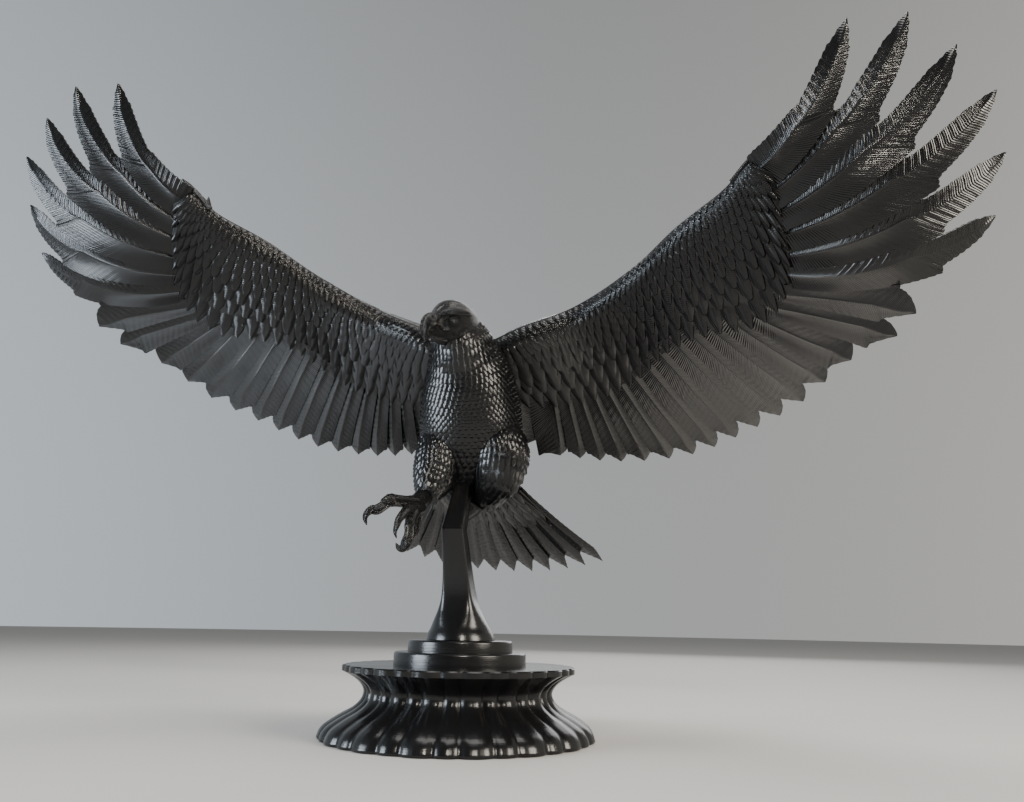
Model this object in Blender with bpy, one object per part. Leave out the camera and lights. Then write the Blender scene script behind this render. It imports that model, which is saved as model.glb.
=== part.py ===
"""An eagle with spread wings, held over a fluted round plinth by a short post, in glossy black plastic.

The figure faces -Y and the plinth's underside is z = 0. Sizes are in metres.
"""

import math
from collections import namedtuple

import bmesh
import bpy
from mathutils import Matrix, Vector

# Driving sizes of the figure
WINGSPAN = 0.668
FIGURE_LEAN = math.radians(2.6)
FIGURE_SHIFT = -0.003

# Driving sizes of the plinth
PLINTH_RADIUS = 0.090
WAIST_RADIUS = 0.0622
WAIST_HEIGHT = 0.028
FLANGE_RADIUS = 0.0770
FLANGE_TOP = 0.0447
FLANGE_LIP = 0.0038
FOOT_LIP = 0.0022
FOOT_ROUND = 0.0012
FLUTE_DEPTH = 0.0027
FLUTE_PAIRS = 16
LOWER_STEP_RADIUS = 0.0440
LOWER_STEP_HEIGHT = 0.0083
UPPER_STEP_RADIUS = 0.0350
UPPER_STEP_HEIGHT = 0.0075
STEP_EDGE = 0.0014

# Driving sizes of the post
POST_HEIGHT = 0.0717
POST_FOOT_RADIUS = 0.0233
POST_TOP_SIDE = 0.0148
POST_FORWARD = 0.015
SEAT_GAP = 0.0003

# The figure is laid out in units of a 668th of its wingspan, facing -Y, with the post's top at STAND
UNIT = WINGSPAN / 668
STAND = Vector((0, -15, 132.3))
STEPS_TOP = FLANGE_TOP + LOWER_STEP_HEIGHT + UPPER_STEP_HEIGHT
POST_TOP = STEPS_TOP + SEAT_GAP + POST_HEIGHT
STUB_BOTTOM = POST_TOP + SEAT_GAP

# Wing feathers are counted from the outermost finger, 1, to the innermost, 22; 24 lies inside the back
FINGERS = 6
WING_FRONT = {
    1: (190, -97, 351), 4: (182, -88, 347), 7: (172, -79, 341), 11: (146, -57, 331),
    14: (118, -31, 316), 18: (76, -9, 297), 22: (37, -12, 280), 24: (6, -6, 268),
}
COVERT_END = {
    1: (203, -94, 345), 3: (210, -79, 323), 5: (216, -61, 303), 7: (212, -42, 289), 9: (197, -26, 280),
    11: (169, -13, 277), 13: (146, 0, 270), 16: (116, 28, 254), 19: (84, 38, 245), 22: (54, 34, 238),
    24: (26, 26, 232),
}
FINGER_TIP = {
    1: (243, -125, 426), 2: (275, -128, 424), 4: (324, -108, 383), 5: (334, -86, 356), 6: (332, -68, 325),
}
FEATHER_TIP = {
    7: (293, -39, 275), 8: (286, -21, 267), 9: (262, 0, 258), 11: (236, 36, 239), 13: (207, 65, 227),
    16: (160, 89, 210), 19: (104, 90, 203), 22: (56, 80, 205), 24: (28, 62, 208),
}
SHAFT_SAG = {
    1: (1, -5, -14), 2: (5, -7, -13), 3: (5, -10, -16), 5: (1, -9, -20), 6: (0, -6, -18), 7: (-2, -2, 0),
    9: (1, 1, -2), 24: (0, 0, 0),
}
NOTCH = {1: 0.36, 3: 0.45, 5: 0.52, 6: 0.60, 7: 0.76, 8: 0.84, 9: 0.88, 24: 0.88}
ARM_THICKNESS = {1: 1.8, 3: 2.6, 5: 3.8, 7: 5.2, 11: 7.5, 16: 9.5, 20: 11, 24: 12}
HAND_EDGE = ((194, -100, 353), (200, -104, 359), (210, -110, 370))

# The free feather that lies along the leading edge, and the small spike beside it: centre and radius
ALULAE = (
    ((180, -86, 344, 2.6), (189, -91, 353, 3.0), (195.5, -93, 360, 2.0), (200.5, -94, 365, 0.5)),
    ((181, -84.6, 344.3, 2.3), (184, -83.2, 352, 1.5), (185.3, -82.3, 356.6, 0.4)),
)

# Half widths of one feather past its notch: share of the way from notch to tip, half width in units
FINGER_WIDTHS = ((0.22, 9.4), (0.5, 8.0), (0.8, 4.8))
FEATHER_WIDTHS = ((0.5, 3.6),)
VANE_LIMIT = 0.36

# Rows of coverts, as shares of the way from the leading edge to the coverts' end, on the front and the back
FRONT_NOSE = ((0.05, 0.66), (0.15, 1.0))
BACK_NOSE = ((0.10, 0.9),)
FRONT_EDGES = (0.34, 0.58, 0.80, 1.0)
BACK_EDGES = (0.45, 1.0)
EDGE_WIDTH = 0.03
COVERT_POINT = 0.06
WING_LIFT = 1.9
FULL_LIFT_THICKNESS = 6

# A feather's half thickness, the ridge of its shaft, how far its edges tilt over the next, and its free edge
QUILL = 1.5
SHAFT_RIDGE = 0.5
WING_TILT = 1.0
EDGE_STEP = 0.35
RIM_REACH = 0.42

Ray = namedtuple("Ray", "front end tip sag notch thick widths side")
Row = namedtuple("Row", "share flat full rise zigzag")


def smooth(keys, at):
    """The value at a place on a smooth curve through {place: value} keys, numbers or points."""
    places = sorted(keys)
    values = [Vector(keys[p]) if isinstance(keys[p], tuple) else keys[p] for p in places]
    last = len(places) - 1
    at = min(max(at, places[0]), places[-1])
    i = min(sum(p <= at for p in places) - 1, last - 1)

    def slope(j):
        low = max(j - 1, 0)
        high = min(j + 1, last)
        return (values[high] - values[low]) * (1 / (places[high] - places[low]))

    step = places[i + 1] - places[i]
    t = (at - places[i]) / step
    start = values[i] * (2 * t**3 - 3 * t**2 + 1) + slope(i) * (step * (t**3 - 2 * t**2 + t))
    return start + values[i + 1] * (3 * t**2 - 2 * t**3) + slope(i + 1) * (step * (t**3 - t**2))


def place(point):
    """A point of the figure's own layout, leaned and set on the post, in metres."""
    leaned = Matrix.Rotation(FIGURE_LEAN, 3, "Y") @ (Vector(point) - STAND)
    return Vector((FIGURE_SHIFT, -POST_FORWARD, STUB_BOTTOM)) + leaned * UNIT


def make_object(name, mesh, material):
    """Closes a bmesh into a named object with its faces pointing out."""
    bmesh.ops.recalc_face_normals(mesh, faces=mesh.faces)
    data = bpy.data.meshes.new(name)
    mesh.to_mesh(data)
    mesh.free()
    data.materials.append(material)
    data.shade_flat()
    solid = bpy.data.objects.new(name, data)
    bpy.context.scene.collection.objects.link(solid)
    return solid


def plastic(name):
    """Glossy black plastic."""
    material = bpy.data.materials.new(name)
    material.use_nodes = True
    shader = material.node_tree.nodes["Principled BSDF"]
    shader.inputs["Base Color"].default_value = (0.012, 0.012, 0.014, 1)
    shader.inputs["Roughness"].default_value = 0.22
    shader.inputs["Metallic"].default_value = 0.0
    return material


def rings_solid(name, rings, material):
    """Joins rings of points, all of one count, into a closed solid."""
    mesh = bmesh.new()
    loops = [[mesh.verts.new(point) for point in ring] for ring in rings]
    for low, high in zip(loops, loops[1:]):
        for i in range(len(low)):
            j = (i + 1) % len(low)
            mesh.faces.new((low[i], low[j], high[j], high[i]))
    for loop in (loops[0], loops[-1]):
        middle = mesh.verts.new(sum((vert.co for vert in loop), Vector()) / len(loop))
        for i in range(len(loop)):
            mesh.faces.new((loop[i], loop[(i + 1) % len(loop)], middle))
    return make_object(name, mesh, material)


# Feather sheets: a wing or a tail as one closed sheet of overlapping feathers


def wing_ray(number):
    """One line across the wing, from its leading edge under the coverts and along a feather's shaft."""
    finger = number <= FINGERS
    tip = smooth(FINGER_TIP if finger else FEATHER_TIP, number)
    return Ray(
        front=smooth(WING_FRONT, number), end=smooth(COVERT_END, number), tip=tip,
        sag=smooth(SHAFT_SAG, number), notch=smooth(NOTCH, number), thick=smooth(ARM_THICKNESS, number),
        widths=FINGER_WIDTHS if finger else FEATHER_WIDTHS, side=1,
    )


def covert_rows(nose, edges, lift):
    """Rows from the leading edge to the end of the coverts: a round nose, then raised and dropped edges."""
    rows = [Row(0.0, 0.0, 0.0, 0.0, 0)]
    rows += [Row(share, 0.0, full, 0.0, 0) for share, full in nose]
    for i, share in enumerate(edges):
        zigzag = 0 if share == edges[-1] else (-1) ** i
        rows.append(Row(share - EDGE_WIDTH, share, 1.0 - share, lift, zigzag))
        rows.append(Row(share, share, 1.0 - share, 0.0, zigzag))
    return rows


def covert_point(ray, share):
    return ray.front.lerp(ray.end, share)


def shaft_point(ray, share):
    """A point on the shaft, from the coverts' end to the tip, sagging by the ray's own amount midway."""
    control = (ray.end + ray.tip) / 2 + ray.sag * 2
    return ray.end * (1 - share) ** 2 + control * (2 * share * (1 - share)) + ray.tip * share**2


def vane_point(ray, share):
    """A point on the part of the shaft before the notch, where neighbours lie edge to edge."""
    return shaft_point(ray, share * ray.notch)


def close_between(mesh, one, other):
    """Fills the strip between two lines of (share, vertex) that start at one vertex, in order of share."""
    i = j = 0
    while i + 1 < len(one) or j + 1 < len(other):
        if j + 1 == len(other) or (i + 1 < len(one) and one[i + 1][0] <= other[j + 1][0]):
            corners = (one[i][1], one[i + 1][1], other[j][1])
            i += 1
        else:
            corners = (one[i][1], other[j + 1][1], other[j][1])
            j += 1
        if len(set(corners)) == 3:
            mesh.faces.new(corners)


class FeatherSheet:
    """A closed sheet of feathers side by side, with rows of coverts over their roots.

    Odd columns are shafts and even ones the edges between two feathers. Face 1 looks down and forward,
    face -1 is the back.
    """

    def __init__(self, rays, front_edges, back_edges, lift, tilt, rim=None, flip=1):
        self.mesh = bmesh.new()
        self.rays = rays
        self.columns = 2 * len(rays)
        self.rows = {
            1: covert_rows(FRONT_NOSE, front_edges, lift),
            -1: covert_rows(BACK_NOSE, back_edges, lift),
        }
        self.tilt = tilt
        self.rim = rim
        self.flip = flip

    def vertex(self, point):
        return self.mesh.verts.new(place((point.x * self.flip, point.y, point.z)))

    def beside(self, column):
        """The rays on the two sides of a column: the same one twice at a shaft or at the sheet's ends."""
        last = len(self.rays) - 1
        return self.rays[min(max((column - 1) // 2, 0), last)], self.rays[min(max(column // 2, 0), last)]

    def middle(self, column, share, where):
        """The middle of the sheet's thickness at a column."""
        near, far = self.beside(column)
        if column == self.columns and self.rim:
            start, end = self.rim[:2] if where is covert_point else self.rim[1:]
            return Vector(start).lerp(Vector(end), share)
        point = (where(near, share) + where(far, share)) / 2
        if column in (0, self.columns):
            inner = self.rays[1] if column == 0 else self.rays[-2]
            point += (point - where(inner, share)) * RIM_REACH
        return point

    def axes(self, column, share, where):
        """The directions out of the front face and across the feathers."""
        right = self.middle(min(column + 1, self.columns), share, where)
        left = self.middle(max(column - 1, 0), share, where)
        start = min(share, 0.96)
        along = Vector()
        for ray in self.beside(column):
            along += where(ray, start + 0.04) - where(ray, start)
        return along.cross(right - left).normalized(), (right - left).normalized()

    def covert_line(self, face, row):
        """One row of points across the coverts."""
        line = []
        for column in range(self.columns + 1):
            share = row.share
            if 0 < column < self.columns:
                share += COVERT_POINT * row.zigzag * (1 if column % 2 else -1)
            near, far = self.beside(column)
            thick = (near.thick + far.thick) / 2
            height = row.flat * QUILL + row.full * thick + row.rise * min(1.0, thick / FULL_LIFT_THICKNESS)
            up, _ = self.axes(column, share, covert_point)
            line.append(self.middle(column, share, covert_point) + up * (face * height))
        return line

    def vane_end(self, face, i):
        """Edge, shaft and edge of feather i at its notch, tilted so that it covers its neighbour."""
        feather = []
        for column, lean in ((2 * i, 1), (2 * i + 1, 0), (2 * i + 2, -1)):
            up, across = self.axes(column, 1.0, vane_point)
            height = face * QUILL * 0.8
            spread = 0.0
            if lean == 0:
                height += face * SHAFT_RIDGE
            elif 0 < column < self.columns:
                spread = EDGE_STEP * lean
                height += self.tilt * lean * self.rays[i].side
            feather.append(self.vertex(self.middle(column, 1.0, vane_point) + up * height + across * spread))
        return tuple(feather)

    def free_part(self, face, i):
        """Edge, shaft and edge of feather i at each width past its notch, then its pointed tip."""
        ray = self.rays[i]
        up, across = self.axes(2 * i + 1, 1.0, vane_point)
        outline = []
        for share, width in ray.widths:
            at = ray.notch + (1 - ray.notch) * share
            centre = shaft_point(ray, at)
            along = (shaft_point(ray, min(at + 0.03, 1.0)) - shaft_point(ray, at - 0.03)).normalized()
            sideways = up.cross(along).normalized()
            if sideways.dot(across) < 0:
                sideways = -sideways
            for k in (i - 1, i + 1):
                if 0 <= k < len(self.rays):
                    other = self.rays[k]
                    gap = shaft_point(other, other.notch + (1 - other.notch) * share) - centre
                    width = min(width, VANE_LIMIT * (gap - along * gap.dot(along)).length)
            feather = []
            for lean in (1, 0, -1):
                ridge = SHAFT_RIDGE if lean == 0 else 0.0
                height = face * (QUILL * 0.7 + ridge) + self.tilt * 0.6 * lean * ray.side
                feather.append(self.vertex(centre - sideways * (width * lean) + up * height))
            outline.append(tuple(feather))
        point = self.vertex(ray.tip + up * (face * QUILL * 0.4))
        outline.append((point, point, point))
        return outline

    def face_of(self, face, edge):
        """One face of the sheet: its covert lines, and for each feather its rows from the coverts' end on."""
        lines = [edge]
        for row in self.rows[face][1:]:
            lines.append([self.vertex(point) for point in self.covert_line(face, row)])
        for low, high in zip(lines, lines[1:]):
            for c in range(self.columns):
                self.mesh.faces.new((low[c], low[c + 1], high[c + 1], high[c]))
        feathers = []
        for i in range(len(self.rays)):
            outline = [tuple(lines[-1][2 * i:2 * i + 3]), self.vane_end(face, i)]
            if feathers:
                self.mesh.faces.new((outline[0][0], outline[1][0], feathers[-1][1][2]))
            outline += self.free_part(face, i)
            for low, high in zip(outline, outline[1:]):
                for a, b in ((0, 1), (1, 2)):
                    corners = dict.fromkeys((low[a], low[b], high[b], high[a]))
                    self.mesh.faces.new(tuple(corners))
            feathers.append(outline)
        return lines, feathers

    def build(self, name, material):
        edge = [self.vertex(point) for point in self.covert_line(1, self.rows[1][0])]
        front_lines, front = self.face_of(1, edge)
        back_lines, back = self.face_of(-1, edge)
        last = len(self.rays) - 1
        for i, (fore, aft) in enumerate(zip(front, back)):
            for side in (0, 2):
                at_end = (i, side) in ((0, 0), (last, 2))
                for r in range(0 if at_end else 1, len(fore) - 1):
                    self.mesh.faces.new((fore[r][side], fore[r + 1][side], aft[r + 1][side], aft[r][side]))
            if i < last:
                self.mesh.faces.new((fore[1][2], front[i + 1][1][0], back[i + 1][1][0], aft[1][2]))
        for column in (0, self.columns):
            sides = []
            for face, lines in ((1, front_lines), (-1, back_lines)):
                sides.append([(row.share, line[column]) for row, line in zip(self.rows[face], lines)])
            close_between(self.mesh, *sides)
        return make_object(name, self.mesh, material)


def make_wing(name, flip, material):
    rays = [wing_ray(number) for number in (24, *range(22, 0, -1))]
    sheet = FeatherSheet(rays, FRONT_EDGES, BACK_EDGES, WING_LIFT, WING_TILT, HAND_EDGE, flip)
    solids = [sheet.build(name, material)]
    for i, rings in enumerate(ALULAE):
        rings = [(x * flip, y, z, radius) for x, y, z, radius in rings]
        solids.append(bent_tube(f"{name}_alula_{i}", rings, material))
    return solids


# The tail: a fan of feathers behind and below the body
TAIL_FEATHERS = 12
TAIL_ROOT = Vector((0, 28, 173))
TAIL_ROOT_WIDTH = 42
TAIL_LENGTH = 140
TAIL_SPREAD = math.radians(28)
TAIL_DROP = math.radians(24)
TAIL_CUP = 5
TAIL_COVERTS = 52
TAIL_EDGES = (0.55, 1.0)
TAIL_LIFT = 1.4
TAIL_TILT = 0.9


def make_tail(material):
    rays = []
    for number in range(TAIL_FEATHERS):
        beside = 2 * number / (TAIL_FEATHERS - 1) - 1
        angle = TAIL_SPREAD * beside
        back = math.cos(angle)
        out = Vector((math.sin(angle), back * math.cos(TAIL_DROP), -back * math.sin(TAIL_DROP)))
        root = TAIL_ROOT + Vector((TAIL_ROOT_WIDTH / 2 * beside, 0, TAIL_CUP * beside**2))
        rays.append(Ray(
            front=root + out * 6, end=root + out * TAIL_COVERTS, tip=root + out * TAIL_LENGTH,
            sag=Vector((0, 0, -2)), notch=0.80, thick=5.5, widths=((0.5, 3.8),), side=1 if beside > 0 else -1,
        ))
    return FeatherSheet(rays, TAIL_EDGES, TAIL_EDGES[-1:], TAIL_LIFT, TAIL_TILT).build("tail", material)


# Rounded forms: body, thighs, head, toes


def scaled_form(name, keys, feathers, material):
    """A rounded form along keys {share: (x, y, z, half width, half depth)}, with rows of pointed feathers."""
    rows, around, lift, point = feathers

    def ring(share, extra, zigzag):
        x, y, z, wide, deep = smooth(keys, share)
        ahead = smooth(keys, min(share + 0.02, 1.0))
        behind = smooth(keys, max(share - 0.02, 0.0))
        along = (Vector(ahead[:3]) - Vector(behind[:3])).normalized()
        right = (Vector((1, 0, 0)) - along * along.x).normalized()
        back = along.cross(right)
        points = []
        for k in range(around):
            angle = 2 * math.pi * k / around
            shift = along * (zigzag * point * (1 if k % 2 else -1))
            out = right * ((wide + extra) * math.cos(angle)) + back * ((deep + extra) * math.sin(angle))
            points.append(place(Vector((x, y, z)) + out + shift))
        return points

    rings = [ring(0.0, 0.0, 0)]
    for number in range(1, rows):
        share = number / rows
        zigzag = (-1) ** number
        rings.append(ring(share - ROW_OVER, lift, zigzag))
        rings.append(ring(share + ROW_UNDER, 0.0, zigzag))
    rings.append(ring(1.0, 0.0, 0))
    return rings_solid(name, rings, material)


# Share of the way from throat to vent or from hip to ankle: centre and half width and depth
BODY = {
    0.0: (-5, -38, 277, 12, 13), 0.1: (-4, -33, 269, 18.5, 19), 0.2: (-2, -25, 258, 23.5, 26),
    0.33: (0, -13, 243, 31, 32), 0.5: (0, 0, 223, 36, 35), 0.66: (0, 9, 204, 37, 33),
    0.8: (0, 16, 186, 36, 29), 0.92: (0, 25, 167, 31, 22), 1.0: (0, 31, 154, 20, 13),
}
RIGHT_THIGH = {
    0.0: (-15, 4, 205, 12, 14), 0.35: (-18, -3, 188, 16, 19), 0.7: (-19, -12, 168, 14, 16),
    1.0: (-19, -23, 152, 7, 8),
}
LEFT_THIGH = {
    0.0: (18, 8, 207, 13, 15), 0.35: (25, 3, 192, 19, 21), 0.7: (24, 0, 172, 17, 17), 1.0: (14, 5, 154, 8, 8),
}

# Number of feather rows, points around, how far a row's edge stands out, and how far its points reach
BODY_ROWS = (9, 18, 1.3, 1.8)
THIGH_ROWS = (4, 10, 1.0, 1.6)
ROW_OVER = 0.012
ROW_UNDER = 0.006


# The head turns to the bird's own right. Its rings run from the nape to the beak's hooked tip: distance
# ahead, rise, half width, half height, and how far the brow stands out
HEAD_CENTRE = Vector((-6, -43, 271))
HEAD_TURN = math.radians(20)
HEAD_RINGS = (
    (-20, -1, 5, 6, 0), (-15, 0, 11, 12, 0), (-6, 0.8, 15, 16.4, 0), (2, 1, 15.8, 17, 1.2),
    (9, 0, 14, 15, 2.4), (13.5, -2, 10.5, 12.6, 2), (16.5, -4.5, 7, 10.2, 0.6), (20.5, -6, 5.6, 9, 0),
    (24.5, -9.5, 4.4, 8, 0), (27.5, -14, 3, 6, 0), (27.8, -19.5, 1.5, 2.6, 0),
)
HEAD_AROUND = 12


def make_head(material):
    """Crown, brow ridges over sunken eyes, and a hooked beak."""
    ahead = Vector((-math.sin(HEAD_TURN), -math.cos(HEAD_TURN), 0))
    right = Vector((math.cos(HEAD_TURN), -math.sin(HEAD_TURN), 0))
    rings = []
    for along, rise, wide, tall, brow in HEAD_RINGS:
        ring = []
        for k in range(HEAD_AROUND):
            angle = 2 * math.pi * k / HEAD_AROUND
            bulge = {1: 1, 5: 1, 0: -0.8, 6: -0.8}.get(k, 0) * brow
            out = right * (math.cos(angle) * (wide + bulge))
            out.z = math.sin(angle) * (tall + 0.5 * bulge) + rise
            ring.append(place(HEAD_CENTRE + ahead * along + out))
        rings.append(ring)
    return rings_solid("head", rings, material)


TOE_AROUND = 5


def bent_tube(name, rings, material):
    """A tapered round form through the centres and radii of its rings."""
    loops = []
    right = None
    for number, (*centre, radius) in enumerate(rings):
        ahead = Vector(rings[min(number + 1, len(rings) - 1)][:3])
        behind = Vector(rings[max(number - 1, 0)][:3])
        along = (ahead - behind).normalized()
        right = along.orthogonal() if right is None else right - along * right.dot(along)
        right.normalize()
        up = along.cross(right)
        loop = []
        for k in range(TOE_AROUND):
            angle = 2 * math.pi * k / TOE_AROUND
            loop.append(place(Vector(centre) + (right * math.cos(angle) + up * math.sin(angle)) * radius))
        loops.append(loop)
    return rings_solid(name, loops, material)


# The foot that reaches out to the bird's right: centre and radius, from the foot to the claw's tip
PALM = ((-21, -24, 152, 6.5), (-22, -31, 147.5, 6.3), (-22, -38, 144.5, 4.5))
REACHING_TOES = (
    (
        (-22, -34, 146.7, 4.8), (-28.2, -46, 145.7, 3.8), (-33.8, -54, 144.9, 4.2), (-36.6, -57, 140.8, 3.2),
        (-39.3, -60, 138, 3.3), (-42.5, -62, 137.3, 2.8), (-44.5, -64, 134.4, 2.1), (-45, -64, 131.3, 1.5),
        (-43.8, -63, 127.6, 0.5),
    ),
    (
        (-21.7, -36, 144.4, 4.6), (-23.5, -46, 140.3, 3.6), (-24.4, -52, 136.5, 2.9),
        (-25.3, -56, 132.7, 2.4), (-25.8, -58, 128.3, 1.9), (-26.4, -58, 124.5, 1.2), (-25.8, -56, 121, 0.5),
    ),
    (
        (-19.6, -33, 144.1, 4.4), (-21, -42, 138.3, 4), (-20.8, -48, 131, 3.2), (-19.8, -50, 124.4, 3),
        (-20.6, -51, 119.2, 3.4), (-22.2, -52, 115.3, 2.8), (-24.5, -54, 115.3, 1.8),
        (-26.2, -55, 117.9, 0.5),
    ),
    (
        (-22.3, -27, 145.8, 4.4), (-23, -27, 139, 3.6), (-22.4, -30, 131.7, 3), (-22.4, -34, 126, 2.4),
        (-23, -40, 121.4, 1.4), (-23.4, -44, 120.4, 0.5),
    ),
)
TUCKED_TOES = (
    ((8, 2, 152, 5.5), (0, 2, 144, 4.6), (-6, 0, 138, 2.2)),
    ((9, 7, 153, 5.5), (1, 9, 144, 4.6), (-6, 6, 138, 2)),
)


def make_feet(material):
    solids = [bent_tube("palm", PALM, material)]
    for name, toes in (("reaching_toe", REACHING_TOES), ("tucked_toe", TUCKED_TOES)):
        solids += [bent_tube(f"{name}_{i}", rings, material) for i, rings in enumerate(toes)]
    return solids


# The stub under the belly is part of the figure and stands on the post's flat top
STUB_TOP_SIDE = 0.0105
STUB_BELLY = (0, 4, 172)


def rounded_square(centre, side, corner, around=16):
    """Points round a square with rounded corners, level at its centre."""
    points = []
    reach = side / 2 - corner
    for k in range(around):
        angle = 2 * math.pi * (k + 0.5) / around
        x = math.copysign(reach, math.cos(angle)) + corner * math.cos(angle)
        y = math.copysign(reach, math.sin(angle)) + corner * math.sin(angle)
        points.append(centre + Vector((x, y, 0)))
    return points


def make_stub(material):
    bottom = Vector((FIGURE_SHIFT, -POST_FORWARD, STUB_BOTTOM))
    belly = place(STUB_BELLY)
    rings = []
    for centre, side in ((bottom, POST_TOP_SIDE), (belly, STUB_TOP_SIDE)):
        rings.append(rounded_square(centre, side, side / 2 * CORNER_SHARE))
    return rings_solid("stub", rings, material)


# Share of the post's height, and how much of the foot's spread is left there
POST_BELL = (
    (0.0, 1.0), (0.05, 0.93), (0.11, 0.76), (0.18, 0.55), (0.27, 0.31), (0.38, 0.14), (0.62, 0.04),
    (1.0, 0.0),
)
POST_TAPER = 0.30
POST_LEAN_CURVE = 1.8
CORNER_SHARE = 0.22
BELL_ROUNDNESS = 1.3


def make_post(material):
    """A rounded square rod that leans forward and spreads into a round bell of a foot."""
    rings = []
    foot = STEPS_TOP + SEAT_GAP
    for share, spread in POST_BELL:
        side = POST_TOP_SIDE * (1 + POST_TAPER * (1 - share))
        side += (2 * POST_FOOT_RADIUS - side) * spread
        corner = side / 2 * (CORNER_SHARE + (1 - CORNER_SHARE) * min(1.0, spread * BELL_ROUNDNESS))
        forward = POST_FORWARD * share**POST_LEAN_CURVE
        centre = Vector((FIGURE_SHIFT * share, -forward, foot + POST_HEIGHT * share))
        rings.append(rounded_square(centre, side, corner))
    return rings_solid("post", rings, material)


STEP_SIDES = 32

# One flute pair, as shares of its arc and of the flute depth: a groove, a broad lobe, a groove, a slim lobe
FLUTE_PAIR = ((0.0, 1.0), (0.14, 0.12), (0.44, 0.12), (0.58, 1.0), (0.79, 0.3))
FLUTE_TURN = 0.29

# Share of the flutes' full depth on the floor, at the foot's lip, under the flange's lip and on its top
FLOOR_FLUTES = 0.9
FOOT_FLUTES = 1.0
UNDER_LIP_FLUTES = 0.9
TOP_FLUTES = 0.8

# The side's curve down from the waist to the foot's lip, and up to the flange's lip: share of the way, and
# share of the spread
FOOT_FLARE = ((0.75, 0.85), (0.5, 0.46), (0.25, 0.11), (0.0, 0.0))
FLANGE_FLARE = ((0.4, 0.16), (0.7, 0.50), (1.0, 1.0))


def plinth_profile():
    """Heights, radii and flute depths up the side: rounded foot, hollow waist, flaring flange."""
    points = [(0.0, PLINTH_RADIUS - FOOT_ROUND, FLOOR_FLUTES), (FOOT_LIP, PLINTH_RADIUS, FOOT_FLUTES)]
    for share, spread in FOOT_FLARE:
        height = WAIST_HEIGHT + (FOOT_LIP - WAIST_HEIGHT) * share
        points.append((height, WAIST_RADIUS + (PLINTH_RADIUS - WAIST_RADIUS) * spread, 1.0))
    under_lip = FLANGE_TOP - FLANGE_LIP
    for share, spread in FLANGE_FLARE:
        height = WAIST_HEIGHT + (under_lip - WAIST_HEIGHT) * share
        depth = 1 + (UNDER_LIP_FLUTES - 1) * share
        points.append((height, WAIST_RADIUS + (FLANGE_RADIUS - WAIST_RADIUS) * spread, depth))
    points.append((FLANGE_TOP, FLANGE_RADIUS, TOP_FLUTES))
    return points


def make_plinth(material):
    """A fluted base with a waist and a flange, and two round steps on top, turned and carved as one."""
    rings = []
    for height, radius, depth in plinth_profile():
        ring = []
        for pair in range(FLUTE_PAIRS):
            for share, groove in FLUTE_PAIR:
                angle = 2 * math.pi * (pair + share - FLUTE_TURN) / FLUTE_PAIRS - math.pi / 2
                reach = radius - FLUTE_DEPTH * groove * depth
                ring.append(Vector((reach * math.cos(angle), reach * math.sin(angle), height)))
        rings.append(ring)
    base = rings_solid("plinth", rings, material)
    lower_top = FLANGE_TOP + LOWER_STEP_HEIGHT
    rings = []
    for radius, height in (
        (LOWER_STEP_RADIUS, WAIST_HEIGHT), (LOWER_STEP_RADIUS, lower_top - STEP_EDGE),
        (LOWER_STEP_RADIUS - STEP_EDGE, lower_top), (UPPER_STEP_RADIUS, lower_top),
        (UPPER_STEP_RADIUS, STEPS_TOP - STEP_EDGE), (UPPER_STEP_RADIUS - STEP_EDGE, STEPS_TOP),
    ):
        angles = [2 * math.pi * k / STEP_SIDES for k in range(STEP_SIDES)]
        rings.append([Vector((radius * math.cos(a), radius * math.sin(a), height)) for a in angles])
    join_into(base, [rings_solid("steps", rings, material)])
    return base


def join_into(target, others):
    """Unites closed solids with the target, which keeps its name."""
    helpers = bpy.data.collections.new(f"{target.name} helpers")
    for other in others:
        helpers.objects.link(other)
        other.hide_render = True
    union = target.modifiers.new("union", "BOOLEAN")
    union.operation = "UNION"
    union.solver = "EXACT"
    union.operand_type = "COLLECTION"
    union.collection = helpers
    bpy.context.view_layer.update()
    graph = bpy.context.evaluated_depsgraph_get()
    joined = bpy.data.meshes.new_from_object(target.evaluated_get(graph))
    target.modifiers.clear()
    target.data = joined
    for other in others:
        bpy.data.objects.remove(other)
    bpy.data.collections.remove(helpers)


def main():
    for leftover in list(bpy.data.objects):
        bpy.data.objects.remove(leftover)
    black = plastic("glossy black plastic")
    eagle = scaled_form("eagle", BODY, BODY_ROWS, black)
    limbs = [make_head(black), make_tail(black), make_stub(black)] + make_feet(black)
    limbs += make_wing("left_wing", 1, black) + make_wing("right_wing", -1, black)
    for name, keys in (("right_thigh", RIGHT_THIGH), ("left_thigh", LEFT_THIGH)):
        limbs.append(scaled_form(name, keys, THIGH_ROWS, black))
    join_into(eagle, limbs)
    make_post(black)
    make_plinth(black)


main()
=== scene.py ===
import math
from collections import namedtuple

import bpy
import numpy as np
from mathutils import Matrix, Vector


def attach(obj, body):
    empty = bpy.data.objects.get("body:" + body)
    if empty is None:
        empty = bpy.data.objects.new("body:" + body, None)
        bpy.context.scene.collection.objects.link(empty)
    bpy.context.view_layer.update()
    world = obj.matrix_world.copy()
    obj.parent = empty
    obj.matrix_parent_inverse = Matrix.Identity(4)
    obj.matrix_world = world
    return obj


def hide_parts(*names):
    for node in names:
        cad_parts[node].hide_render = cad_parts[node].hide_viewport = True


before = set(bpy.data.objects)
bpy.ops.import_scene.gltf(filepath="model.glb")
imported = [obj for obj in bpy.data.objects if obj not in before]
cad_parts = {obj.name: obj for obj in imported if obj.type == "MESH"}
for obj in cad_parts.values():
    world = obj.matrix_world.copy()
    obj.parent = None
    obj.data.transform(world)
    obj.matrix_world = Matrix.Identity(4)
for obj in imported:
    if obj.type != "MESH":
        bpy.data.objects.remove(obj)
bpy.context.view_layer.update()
bpy.ops.object.select_all(action="DESELECT")

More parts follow.
